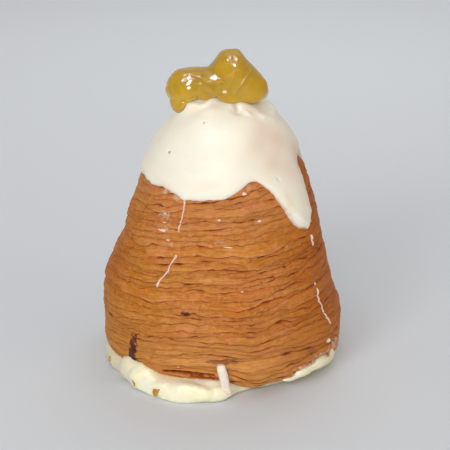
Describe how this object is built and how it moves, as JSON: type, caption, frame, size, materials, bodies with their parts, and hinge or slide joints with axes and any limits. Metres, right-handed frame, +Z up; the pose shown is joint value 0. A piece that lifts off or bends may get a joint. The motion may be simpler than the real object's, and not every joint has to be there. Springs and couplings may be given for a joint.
{
  "type": "sfogliatella",
  "caption": "Upright bell-shaped sfogliatella: flaky wound pastry under a dripping white icing cap, candied fruit on top and cream squeezed out at its foot.",
  "frame": {"origin": "on the bell's axis, at the flat underside of the cream that the pastry stands on", "axes": "+Z up along the bell's axis, -Y towards the front, where the cream comes out; the long icing drip is to the front right, towards +X"},
  "size_m": [0.0767, 0.0795, 0.1029],
  "materials": {
    "baked_pastry": "baked golden-brown flaky dough, dry with a slight butter sheen",
    "white_icing": "smooth set sugar icing, warm white, softly glossy",
    "candied_fruit": "wet glossy candied fruit, translucent amber yellow",
    "cream": "thick pale-yellow cream, softly glossy"
  },
  "bodies": {
    "root": {"pastry_shell": "baked_pastry", "white_icing": "white_icing", "candied_fruit_left": "candied_fruit", "candied_fruit_right": "candied_fruit", "cream_filling": "cream"}
  },
  "joints": []
}
